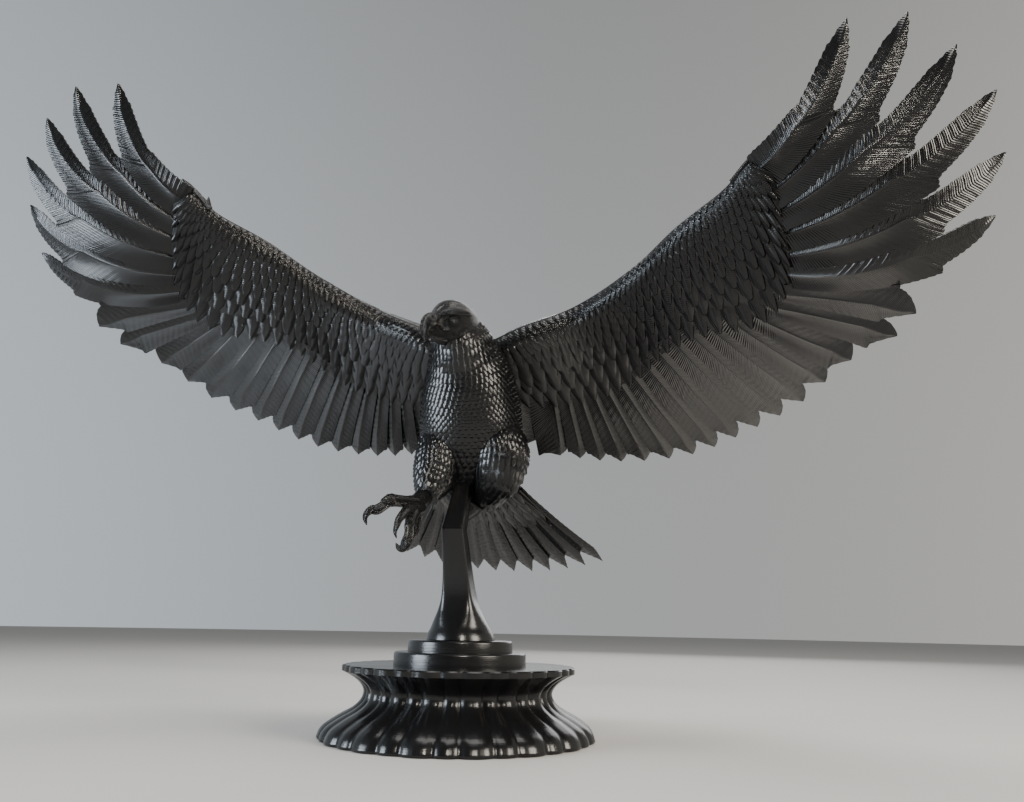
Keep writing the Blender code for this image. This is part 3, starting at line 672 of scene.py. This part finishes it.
# The free feather along the hand's leading edge, and the spike beside it: bent tapering forms, printed with
# the wing. The beak, the brows and the toes further down are shaped in the same way.
ALULAE = (
    ((180, -86, 344, 2.6), (189, -91, 353, 3.0), (195.5, -93, 360, 2.0), (200.5, -94, 365, 0.4)),
    ((181, -85, 344, 2.4), (184, -83.5, 352, 1.5), (185.3, -82.3, 356.6, 0.3)),
)


def drum(around, rows):
    """A closed drum cut into rows, with the share up it, the angle and the reach of each of its corners."""
    bpy.ops.mesh.primitive_cylinder_add(
        vertices=around, radius=1, depth=2, end_fill_type="TRIFAN", location=(0, 0, 0),
    )
    form = bpy.context.object
    bpy.ops.object.mode_set(mode="EDIT")
    for cut in range(1, rows):
        bpy.ops.mesh.select_all(action="SELECT")
        bpy.ops.mesh.bisect(plane_co=(0, 0, 2 * cut / rows - 1), plane_no=(0, 0, 1))
    bpy.ops.object.mode_set(mode="OBJECT")
    x, y, z = np.array([point.co for point in form.data.vertices]).T
    return form, (z + 1) / 2, np.arctan2(y, x), np.hypot(x, y)


def bent_form(name, rings, rows, around, rough=None, flip=1, side=(1.0, 0, 0)):
    """A tapering round form through the centres and radii of its rings, whose circles start towards side;
    rough(share, angle) swells it."""
    tube, share, angle, reach = drum(around, rows)
    guide = Guide({k / (len(rings) - 1): ring for k, ring in enumerate(rings)})
    centre = guide(share)
    forward = unit(guide(np.clip(share + 0.02, 0, 1))[:, :3] - guide(np.clip(share - 0.02, 0, 1))[:, :3])
    right = unit(side - forward * (forward @ side)[:, None])
    up = np.cross(forward, right)
    reach = reach * centre[:, 3]
    if rough is not None:
        reach = reach * rough(share, angle)
    sideways = right * (reach * np.cos(angle))[:, None]
    points = centre[:, :3] + sideways + up * (reach * np.sin(angle))[:, None]
    laid(tube, name, points * (flip, 1, 1))
    drop(tube)


for rings in ALULAE:
    for flip in (1, -1):
        bent_form("alula", rings, rows=16, around=10, flip=flip)

# The tail: a fan of feathers behind and below the body, printed with it, the middle ones on top, with rows
# of coverts over its root on both faces.
TAIL_FEATHERS = 12
TAIL_ROOT = np.array((0, 28, 173), float)
TAIL_ROOT_WIDTH = 42
TAIL_LENGTH = 140
TAIL_SPREAD = math.radians(28)
TAIL_DROP = math.radians(24)
TAIL_CUP = 5
TAIL_COVERED = 30
TAIL_SAG = (0, 0, -2.0)
TAIL_NOTCH = 0.74
TAIL_TILT = 0.5
TAIL_LEAD = 0.05
TAIL_THICKNESS = ((0, 2), (6, 5.2), (30, 4.0), (60, 1.4))
TAIL_ARM_START = 4
TAIL_ARM_LENGTH = 50
TAIL_ARM_WIDTH = 0.98
TAIL_COVERTS = (
    # where the row's tips lie, how many there are, and their length
    (66, 12, 26), (50, 11, 22), (36, 10, 19), (22, 9, 16),
)
TAIL_COVERT_POINT = 0.7
TAIL_COVERT_LIFT = 1.7
TAIL_COVERT_OVERLAP = 1.15
TAIL_BARB = (6.2, 3, 0.48, 0.48)
POINTED_TIP = ((0.0, 1.0), (0.3, 0.80), (0.6, 0.48), (0.8, 0.26), (1.0, 0.02))


def tail_line(beside):
    """Root and direction of the tail at a place across it, from -1 to 1."""
    angle = TAIL_SPREAD * beside
    out = np.stack([
        np.sin(angle), np.cos(angle) * math.cos(TAIL_DROP), -np.cos(angle) * math.sin(TAIL_DROP),
    ], -1)
    root = TAIL_ROOT + np.stack([TAIL_ROOT_WIDTH / 2 * beside, 0 * beside, TAIL_CUP * beside**2], -1)
    return root, out


def tail_feather(k):
    root, out = tail_line(2 * k / (TAIL_FEATHERS - 1) - 1)
    return Feather(root + out * TAIL_COVERED, root + out * TAIL_LENGTH, np.array(TAIL_SAG), TAIL_NOTCH, None)


tail_feathers = [tail_feather(k) for k in range(TAIL_FEATHERS)]
tail_normal = unit(np.array((0, -math.sin(TAIL_DROP), -math.cos(TAIL_DROP))))
for k, feather in enumerate(tail_feathers):
    right_half = k >= TAIL_FEATHERS // 2
    inner = tail_feathers[k - 1] if k else None
    outer = tail_feathers[k + 1] if k + 1 < TAIL_FEATHERS else None
    tilt = -TAIL_TILT if right_half else TAIL_TILT
    tips = (INNER_TIP, POINTED_TIP) if right_half else (POINTED_TIP, INNER_TIP)
    lay_feather(
        "tail_feather", feather, inner, outer, tail_normal, TAIL_BARB,
        tilt=tilt, lead=TAIL_LEAD, flips=(1,), tips=tips,
    )


def tail_arm(beside, along, face, proud=0.0):
    root, out = tail_line(beside)
    thick = np.interp(along, *zip(*TAIL_THICKNESS))
    return root + out * along[..., None] - tail_normal * (face * (thick + proud))[..., None]


slab = closed_grid(24, 8)
across, along, face = slab_places(slab)
laid(slab, "tail_root", tail_arm(across * TAIL_ARM_WIDTH, TAIL_ARM_START + TAIL_ARM_LENGTH * along, face))
drop(slab)
shape_x, shape_y, height = scale_form(TAIL_COVERT_POINT, TAIL_COVERT_LIFT)
for face_side in (1.0, -1.0):
    for row, (tips, count, length) in enumerate(TAIL_COVERTS):
        placed = []
        maps = []
        for k in range(count):
            middle = (2 * (k + (0.3 if row % 2 else 0.7)) / count - 1) * 0.95
            beside = middle + shape_x * TAIL_COVERT_OVERLAP / count
            reach = tips - (1 - shape_y) * length
            placed.append(tail_arm(beside, reach, np.full_like(beside, face_side), height))
            maps.append(np.stack([shape_x * 0.4, (shape_y * length - np.abs(shape_x) * 4) / 10], -1))
        laid(scale, "tail_covert", placed, maps)

# The body, neck and thighs: rounded forms, printed with the wings and covered in rows of small pointed
# feathers. They are longer, like hackles, on the neck.
BODY = Guide({
    0.0: (-5, -38, 277, 12, 13), 0.1: (-4, -33, 269, 18.5, 19), 0.2: (-2, -25, 258, 23.5, 26),
    0.33: (0, -13, 243, 31, 32), 0.5: (0, 0, 223, 36, 35), 0.66: (0, 9, 204, 37, 33),
    0.8: (0, 16, 186, 36, 29), 0.92: (0, 25, 167, 31, 22), 1.0: (0, 31, 154, 20, 13),
})
RIGHT_THIGH = Guide({
    0.0: (-15, 4, 205, 12, 14), 0.35: (-18, -3, 188, 16, 19), 0.7: (-19, -12, 168, 14, 16),
    1.0: (-19, -23, 152, 7, 8),
})
LEFT_THIGH = Guide({
    0.0: (18, 8, 207, 13, 15), 0.35: (25, 3, 192, 19, 21), 0.7: (24, 0, 172, 17, 17), 1.0: (14, 5, 154, 8, 8),
})
FORM_AROUND = 40
FORM_ROWS = 24
TILE_OVERLAP = 1.15
HACKLE_GROWTH = 0.35
TILE_JITTER = 0.10


def rounded(guide, share, angle, proud=0.0):
    """A point on a rounded form round a guide of centre, half width and half depth."""
    share = np.clip(share, 0, 1)
    here = guide(share)
    forward = unit(guide(np.clip(share + 0.02, 0, 1))[..., :3] - guide(np.clip(share - 0.02, 0, 1))[..., :3])
    right = unit(np.array((1.0, 0, 0)) - forward * forward[..., :1])
    back = np.cross(forward, right)
    wide = (here[..., 3] + proud) * np.cos(angle)
    deep = (here[..., 4] + proud) * np.sin(angle)
    return here[..., :3] + right * wide[..., None] + back * deep[..., None]


def feathered_form(name, guide, width, length, spacing, lift, hackles):
    """The smooth form itself, closed at both ends, and rows of small pointed feathers, which are longer above
    the share hackles."""
    form, share, angle, reach = drum(FORM_AROUND, FORM_ROWS)
    middle = guide(share)[:, :3]
    points = middle + (rounded(guide, share, angle) - middle) * reach[:, None]
    laid(form, name, points)
    drop(form)
    spine = guide(np.linspace(0, 1, 60))[:, :3]
    total = np.linalg.norm(np.diff(spine, axis=0), axis=-1).sum()
    rows = round(total / spacing)
    for row in range(rows):
        tips = (row + 1.5) / (rows + 0.5)
        here = guide(tips)
        count = max(8, round(math.pi * (here[3] + here[4]) / width))
        long = length * (1 + HACKLE_GROWTH * max(0.0, 1 - tips / hackles)) if hackles else length
        placed = []
        maps = []
        for k in range(count):
            turn = 2 * math.pi * (k + 0.5 * (row % 2)) / count
            jitter = TILE_JITTER * math.sin(k * 7.13 + row * 2.7)
            share = tips - (1 - TILE_Y + jitter) * long / total
            angles = turn + TILE_X * math.pi / count * TILE_OVERLAP
            placed.append(rounded(guide, share, angles, TILE_RISE * lift))
            maps.append(np.stack([TILE_X * 0.1, TILE_Y * 0], -1))
        laid(tile, name + "_feather", placed, maps)


# A small pointed feather: a six-sided point, raised near its tip.
bpy.ops.mesh.primitive_cone_add(vertices=6, radius1=1, depth=1, end_fill_type="NGON", location=(0, 0, 0.5))
tile = bpy.context.object
bpy.ops.object.transform_apply(location=True)
tile_corners = np.array([point.co for point in tile.data.vertices])
tile_top = tile_corners[:, 2] > 0.5
TILE_X = tile_corners[:, 0] * 1.1
TILE_Y = np.where(tile_top, 0.78, 0.5 + 0.5 * tile_corners[:, 1])
TILE_RISE = np.where(tile_top, 1.0, -0.35)
feathered_form("body", BODY, width=4.4, length=6.4, spacing=3.5, lift=1.15, hackles=0.35)
for name, guide in (("right_thigh", RIGHT_THIGH), ("left_thigh", LEFT_THIGH)):
    feathered_form(name, guide, width=4.2, length=9.0, spacing=4.4, lift=1.3, hackles=0)
drop(tile)

# The head, printed with the body, turns to the bird's own right: a smooth crown, brow ridges that overhang
# sunken round eyes, a cere with nostrils that bulges under them, and a hooked beak over the lower jaw.
HEAD_CENTRE = np.array((-5.5, -43, 271), float)
HEAD_TURN = math.radians(31)
HEAD_FORWARD = np.array((-math.sin(HEAD_TURN), -math.cos(HEAD_TURN), 0))
HEAD_RIGHT = np.array((math.cos(HEAD_TURN), -math.sin(HEAD_TURN), 0))
HEAD_UP = np.array((0, 0, 1.0))
SKULL = Guide({
    -20: (-1, 4, 5), -18: (-0.6, 8.5, 9.2), -14: (0.1, 12.2, 13.0), -6: (0.4, 14.8, 15.4),
    2: (0.2, 15.4, 16.0), 8: (-0.2, 14.2, 14.8), 12: (-1.0, 11.7, 12.8), 15.0: (-2.6, 7.9, 9.2),
    16.8: (-3.6, 3.9, 5.2),
})
SKULL_AROUND = 48
SKULL_ROWS = 40
HOLLOWS = (
    # depth, how far ahead of the centre it lies and its spread, degrees above the side and their spread
    (3.0, 9.2, 4.4, -13, 15),
    (0.8, 2.0, 2.0, -12, 16),
    (-1.6, 5.0, 6.5, -44, 9),
)
GAPE_DEPTH = 0.9
COMB_DEPTH = 0.22
COMB_ROWS = 24
BROW = (
    (-7, 13.4, 5.4, 0.5), (-3, 14.9, 4.8, 1.6), (2, 15.4, 3.8, 2.3), (7, 14.5, 2.8, 2.8),
    (11.5, 12.0, 2.2, 2.8), (14.6, 8.6, 1.2, 2.4), (16.8, 5.8, -0.6, 0.8),
)
BEAK = (
    (12.0, 0, -3.6, 5.8), (16.4, 0, -3.2, 5.2), (20.0, 0, -4.2, 5.4), (22.8, 0, -7.4, 4.6),
    (24.0, 0, -11.4, 3.4), (23.9, 0, -15.8, 2.2), (22.6, 0, -20.2, 0.3),
)
NOSTRIL_AT = 0.36
CERE_END = 0.56
JAW = ((8.0, 0, -12.0, 6.0), (13.0, 0, -13.0, 4.6), (17.5, 0, -13.2, 3.4), (21.0, 0, -13.8, 1.2))
EYE = (9.2, 12.1, -3.8)
EYE_OUTWARD = (0.40, 0.91, -0.08)
EYE_RADIUS = 2.8
LID_RADIUS = 0.6
LID_RISE = 0.9


def near(value, middle, spread):
    return np.exp(-(((value - middle) / spread) ** 2))


def on_head(along, beside, above):
    """Head distances, ahead of its centre, to the bird's left of it and above it, in the figure's layout."""
    along, beside, above = (np.asarray(value, float)[..., None] for value in (along, beside, above))
    return HEAD_FORWARD * along + HEAD_RIGHT * beside + HEAD_UP * above


def skull_point(along, angle):
    """A point on the skull: distance ahead of its centre, and angle round it from the left over the crown."""
    rise_here, wide, tall = np.moveaxis(SKULL(along), -1, 0)
    rise = np.degrees(np.arctan2(np.sin(angle), np.abs(np.cos(angle))))
    push = COMB_DEPTH * np.sin(angle * COMB_ROWS) * np.clip((1 - along) / 8, 0, 1)
    push -= GAPE_DEPTH * near(rise, -56, 5) * np.clip((along - 2) / 5, 0, 1)
    for depth, place_ahead, spread, height, height_spread in HOLLOWS:
        push -= depth * near(along, place_ahead, spread) * near(rise, height, height_spread)
    return on_head(along, (wide + push) * np.cos(angle), rise_here + (tall + push * 0.8) * np.sin(angle))


def nostrils(share, angle):
    """A pit on each side of the cere, and the groove where the cere ends."""
    pit = near(share, NOSTRIL_AT, 0.035) * (near(angle, 0.45, 0.30) + near(angle, math.pi - 0.45, 0.30))
    return 1 - 0.30 * pit - 0.10 * near(share, CERE_END, 0.025)


def head_rings(rings, side=1):
    return [(*(HEAD_CENTRE + on_head(a, b * side, c)), radius) for a, b, c, radius in rings]


skull, share, angle, reach = drum(SKULL_AROUND, SKULL_ROWS)
skull_back, skull_front = SKULL.places[[0, -1]]
along = skull_back + (skull_front - skull_back) * share
middle = on_head(along, along * 0, SKULL(along)[:, 0])
laid(skull, "skull", HEAD_CENTRE + middle + (skull_point(along, angle) - middle) * reach[:, None])
drop(skull)
bent_form("beak", head_rings(BEAK), rows=36, around=24, rough=nostrils, side=HEAD_RIGHT)
bent_form("jaw", head_rings(JAW), rows=12, around=20, side=HEAD_RIGHT)
for side in (1, -1):
    bent_form("brow", head_rings(BROW, side), rows=32, around=16, side=HEAD_UP)
    outward = unit(on_head(EYE_OUTWARD[0], EYE_OUTWARD[1] * side, EYE_OUTWARD[2]))
    ahead_of_eye = unit(np.cross(outward, HEAD_UP))
    above_eye = np.cross(ahead_of_eye, outward)
    eye = HEAD_CENTRE + on_head(EYE[0], EYE[1] * side, EYE[2])
    bpy.ops.mesh.primitive_uv_sphere_add(segments=24, ring_count=14, radius=EYE_RADIUS, location=(0, 0, 0))
    ball = bpy.context.object
    bpy.ops.mesh.primitive_torus_add(
        major_segments=28, minor_segments=8, major_radius=EYE_RADIUS, minor_radius=LID_RADIUS,
        location=(0, 0, 0),
    )
    lid = bpy.context.object
    for shape_name, form, rise in (("eye", ball, 0.0), ("eyelid", lid, LID_RISE)):
        corners = np.array([point.co for point in form.data.vertices])
        laid(form, shape_name, eye + outward * rise + corners @ np.array((ahead_of_eye, above_eye, outward)))
        drop(form)

# The feet, printed with the thighs: the right one reaches out with its claws open, on scaly toes, and the
# left one is tucked behind the post.
PALM = ((-21, -22, 154, 6.0), (-21.5, -27, 150, 6.5), (-22, -31, 147.5, 6.3), (-22, -38, 144.5, 4.2))
REACHING_TOES = (
    (
        (-22, -34, 146.7, 4.8), (-28.2, -46, 145.7, 3.8), (-33.8, -54, 144.9, 4.2), (-36.6, -57, 140.8, 3.2),
        (-39.3, -60, 138, 3.3), (-42.5, -62, 137.3, 2.8), (-44.5, -64, 134.4, 2.1), (-45, -64, 131.3, 1.5),
        (-43.8, -63, 127.6, 0.35),
    ),
    (
        (-21.7, -36, 144.4, 4.6), (-23.5, -46, 140.3, 3.6), (-24.4, -52, 136.5, 2.9),
        (-25.3, -56, 132.7, 2.4), (-25.8, -58, 128.3, 1.9), (-26.4, -58, 124.5, 1.2), (-25.8, -56, 121, 0.35),
    ),
    (
        (-19.6, -33, 144.1, 4.4), (-21, -42, 138.3, 4), (-20.8, -48, 131, 3.2), (-19.8, -50, 124.4, 3),
        (-20.6, -51, 119.2, 3.4), (-22.2, -52, 115.3, 2.8), (-24.5, -54, 115.3, 1.8),
        (-26.2, -55, 117.9, 0.35),
    ),
    (
        (-22.3, -27, 145.8, 4.4), (-23, -27, 139, 3.6), (-22.4, -30, 131.7, 3), (-22.4, -34, 126, 2.4),
        (-23, -40, 121.4, 1.4), (-23.4, -44, 120.4, 0.35),
    ),
)
TUCKED_TOES = (
    ((8, 2, 152, 5.5), (0, 2, 144, 4.6), (-6, 0, 138, 2.2)),
    ((9, 7, 153, 5.5), (1, 9, 144, 4.6), (-6, 6, 138, 2)),
)
CLAW_START = 0.66
PLATE_SWELL = 0.10
PLATES = 34


def scaly(share, angle):
    """The swell of a toe's plates, which stop where the smooth claw starts."""
    toe = np.clip((CLAW_START - share) / 0.05, 0, 1)
    return 1 + toe * PLATE_SWELL * np.abs(np.sin(share * PLATES)) * (0.6 + 0.4 * np.sin(angle))


bent_form("palm", PALM, rows=14, around=16)
for toe in REACHING_TOES:
    bent_form("toe", toe, rows=36, around=12, rough=scaly)
for toe in TUCKED_TOES:
    bent_form("tucked_toe", toe, rows=20, around=12, rough=scaly)

# The stub: a short square peg, printed with the belly, that narrows upwards. Its flat end stands on the
# post's top, where the joint line shows.
STUB_TOP_SIDE = 0.0105
STUB_BELLY = (0, 4, 172)
STUB_AROUND = 48
bpy.ops.mesh.primitive_cylinder_add(
    vertices=STUB_AROUND, radius=1, depth=1, end_fill_type="TRIFAN", location=(0, 0, 0.5),
)
stub = bpy.context.object
bpy.ops.object.transform_apply(location=True)
belly = place(STUB_BELLY)
for point in stub.data.vertices:
    share = point.co.z
    side_here = POST_TOP_SIDE + (STUB_TOP_SIDE - POST_TOP_SIDE) * share
    angle = math.atan2(point.co.y, point.co.x)
    x, y = rounded_square(side_here, side_here / 2 * CORNER_SHARE, angle)
    reach = math.hypot(point.co.x, point.co.y)
    middle = FIGURE_FOOT + (belly - FIGURE_FOOT) * share
    point.co = (middle[0] + x * reach, middle[1] + y * reach, middle[2])
stub.data.uv_layers[0].name = "feather"
eagle_parts.append(stub)
drop(scale)

# All of the bird is one print: its forms are made one piece, and finished in the same glossy black as the
# post and the plinth.
FEATHERS_SMOOTH_BELOW = 40
bpy.ops.object.select_all(action="DESELECT")
for part in eagle_parts:
    part.select_set(True)
bpy.context.view_layer.objects.active = eagle_parts[0]
bpy.ops.object.join()
eagle = bpy.context.object
eagle.name = "eagle_print"
bpy.ops.object.mode_set(mode="EDIT")
bpy.ops.mesh.select_all(action="SELECT")
bpy.ops.mesh.normals_make_consistent(inside=False)
bpy.ops.object.mode_set(mode="OBJECT")
finished(eagle, printed_plastic("printed black eagle", True), "eagle", FEATHERS_SMOOTH_BELOW)

# The floor is a wide pale disc. The room is dim overhead and behind the camera, and bright to both sides,
# cool on the left and warm on the right, as a black glossy thing needs something to mirror. A small lamp in
# front gives the sharp highlights, and two low ones light the undersides of the wings.
FLOOR_COLOUR = (0.50, 0.49, 0.475, 1)
FLOOR_ROUGHNESS = 0.8
ROOM_DIM = 0.08
ROOM_SIDES = 0.65
ROOM_FAR_END = 0.36
COOL = (0.80, 0.90, 1.0)
WARM = (1.0, 0.93, 0.82)
LAMPS = (
    ("cool lamp", (-1.15, -0.75, 0.35), COOL, 24, 0.6),
    ("warm lamp", (1.35, -0.55, 0.75), WARM, 24, 0.6),
    ("front lamp", (0.55, -1.45, 0.95), WARM, 13, 0.14),
    ("top lamp", (0.1, 0.1, 1.6), (1.0, 0.98, 0.95), 14, 1.0),
    ("back lamp", (0.2, 1.5, 0.9), (1.0, 1.0, 1.0), 10, 1.2),
    ("low cool lamp", (-0.33, 0.06, 0.09), COOL, 0.22, 0.16),
    ("low warm lamp", (0.24, 0.08, 0.09), WARM, 0.22, 0.16),
)
AIM = Vector((0, 0, 0.28))

bpy.ops.mesh.primitive_circle_add(vertices=96, radius=6, fill_type="NGON", location=(0, 0, 0))
floor = bpy.context.object
floor.name = "floor"
floor_finish = Nodes(bpy.data.materials.new("pale floor"), "Principled BSDF")
floor_finish.shader.inputs["Base Color"].default_value = FLOOR_COLOUR
floor_finish.shader.inputs["Roughness"].default_value = FLOOR_ROUGHNESS
floor.data.materials.append(floor_finish.owner)
floor.select_set(False)

room = Nodes(bpy.data.worlds.new("room"), "Background")
looking = room.node("ShaderNodeTexCoord", {}, {}, "Generated")
rightward = room.node("ShaderNodeSeparateXYZ", {}, {0: looking}, "X")
onward = room.node("ShaderNodeSeparateXYZ", {}, {0: looking}, "Y")
sides = {"Factor": rightward * 0.5 + 0.5, 6: (*COOL, 1), 7: (*WARM, 1)}
room.feed("Color", room.node("ShaderNodeMix", {"data_type": "RGBA"}, sides, 2))
far_end = onward.math("MAXIMUM", 0.0) * ROOM_FAR_END
room.feed("Strength", ROOM_DIM + rightward * rightward * ROOM_SIDES + far_end)
bpy.context.scene.world = room.owner
for lamp_name, lamp_at, lamp_colour, watts, lamp_size in LAMPS:
    lamp = bpy.data.lights.new(lamp_name, "AREA")
    lamp.energy = watts
    lamp.color = lamp_colour
    lamp.size = lamp_size
    stand = bpy.data.objects.new(lamp_name, lamp)
    stand.location = lamp_at
    aim = Vector((*lamp_at[:2], 1)) if lamp_name.startswith("low") else AIM
    stand.rotation_euler = (aim - Vector(lamp_at)).to_track_quat("-Z", "Y").to_euler()
    bpy.context.scene.collection.objects.link(stand)
